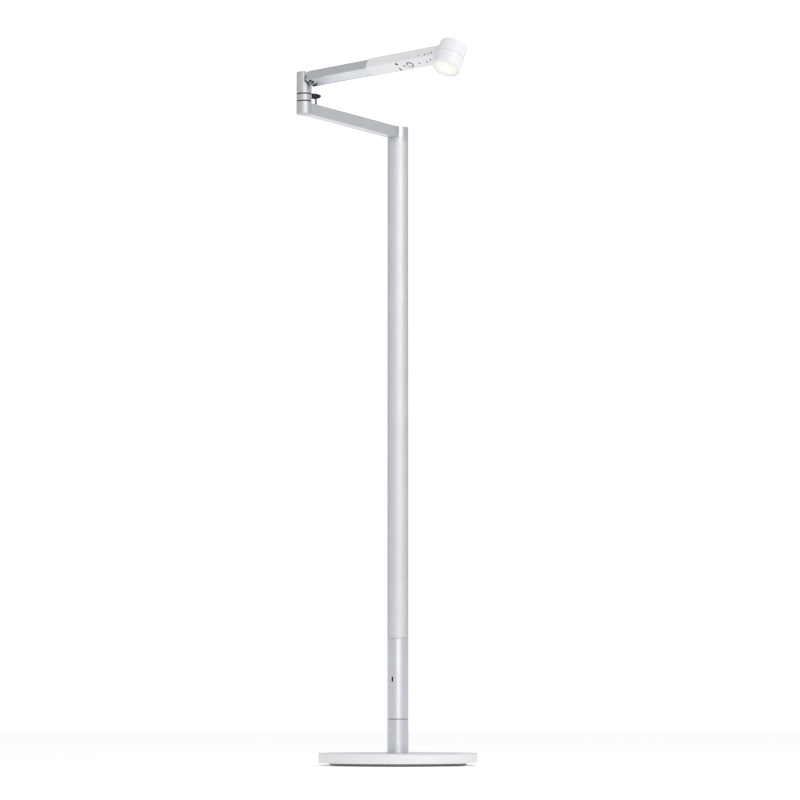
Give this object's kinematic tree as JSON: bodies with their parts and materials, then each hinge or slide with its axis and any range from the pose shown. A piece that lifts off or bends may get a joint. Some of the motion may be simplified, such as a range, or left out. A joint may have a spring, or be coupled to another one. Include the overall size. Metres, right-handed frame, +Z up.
{
  "type": "adjustable arm floor lamp",
  "caption": "Floor lamp with a weighted round base, a perforated column, a short fixed arm, and an upper arm that swings and rolls to aim a drum head.",
  "frame": {"origin": "on the floor, on the column's axis, in the middle of the foot's flat face", "axes": "+Z up along the column; at rest the arms reach out to the front, towards -Y; +Y is the rear, where the power inlet is"},
  "size_m": [0.3351, 0.6705, 1.2775],
  "materials": {
    "foot_rubber": "fine matt non-slip rubber",
    "plate_grey": "grey powder coat",
    "iron": "raw casting, painted dark",
    "base_white": "fine satin white powder coat",
    "steel": "turned steel",
    "socket_black": "black moulding",
    "board_green": "green circuit board",
    "bush_ivory": "natural acetal",
    "seal_black": "black washers, neck and boot",
    "satin_silver": "bead-blasted clear anodised aluminium",
    "screen_silver": "perforated anodised tube",
    "pipe_milk": "milky light diffuser",
    "cable_grey": "grey cable jacket",
    "underside_grey": "light satin anodised cover",
    "arm_white": "satin white moulding",
    "head_white": "satin white lacquer",
    "copper": "copper heat pipe",
    "led_yellow": "phosphor",
    "lens_warm": "frosted lens lit warm white",
    "reflector_white": "high-reflectance white moulding",
    "bezel_grey": "turned bezel ring"
  },
  "bodies": {
    "base": {"foot_pad": "foot_rubber", "base_plate": "plate_grey", "base_weight": "iron", "base_cover": "base_white", "base_screws": "steel", "power_inlet": "socket_black", "driver_board": "board_green", "base_collar": "satin_silver", "collar_nut": "steel", "swivel_bushes": "bush_ivory", "swivel_washer": "seal_black"},
    "column": {"column_spindle": "steel", "spindle_clip": "steel", "lower_tube": "satin_silver", "usb_socket": "socket_black", "usb_board": "board_green", "tube_coupler": "satin_silver", "perforated_tube": "screen_silver", "light_pipe": "pipe_milk", "pipe_light_board": "led_yellow", "stem_hub": "satin_silver", "lower_arm_beam": "satin_silver", "lower_arm_cover": "underside_grey", "elbow_base": "satin_silver", "cable_boot": "seal_black", "link_cable": "cable_grey", "elbow_pin": "steel", "elbow_washer_lower": "seal_black", "elbow_collar": "satin_silver", "elbow_washer_upper": "seal_black"},
    "elbow": {"elbow_housing": "satin_silver", "elbow_bush": "bush_ivory", "elbow_cap": "satin_silver", "pivot_plate": "underside_grey", "roll_spindle": "steel", "roll_neck": "seal_black", "spindle_nut": "steel"},
    "upper_arm": {"roll_bushes": "bush_ivory", "arm_root_block": "satin_silver", "root_plug": "seal_black", "rear_arm_shell": "satin_silver", "rear_arm_underside": "underside_grey", "arm_joiner": "satin_silver", "front_arm_shell": "arm_white", "heat_pipe": "copper", "control_panel": "arm_white", "control_board": "board_green", "button_ring": "bezel_grey", "light_sensor": "socket_black", "motion_sensor": "socket_black", "indicator_dots": "seal_black", "head_cap": "head_white", "head_body": "head_white", "heat_sink": "satin_silver", "led_board": "led_yellow", "led_chips": "led_yellow", "reflector": "reflector_white", "lens": "lens_warm", "lens_bezel": "head_white"},
    "button": {"power_button": "arm_white"}
  },
  "joints": [
    {"name": "column_swivel", "type": "hinge", "parent": "base", "child": "column", "pos_m": [0, 0, 0.086], "axis": [0, 0, 1], "range_deg": [-170, 170]},
    {"name": "elbow_swivel", "type": "hinge", "parent": "column", "child": "elbow", "pos_m": [-0.17207, -0.24575, 1.228], "axis": [0, 0, 1], "range_deg": [-77, 267]},
    {"name": "arm_roll", "type": "hinge", "parent": "elbow", "child": "upper_arm", "pos_m": [-0.17207, -0.24575, 1.254], "axis": [0.7431, -0.6691, 0], "range_deg": [-170, 170]},
    {"name": "button_press", "type": "slide", "parent": "upper_arm", "child": "button", "axis": [0.2986, 0.3316, 0.8949], "range_m": [0, 0.0008], "stiffness_N_per_m": 800, "springref_m": -0.001}
  ]
}
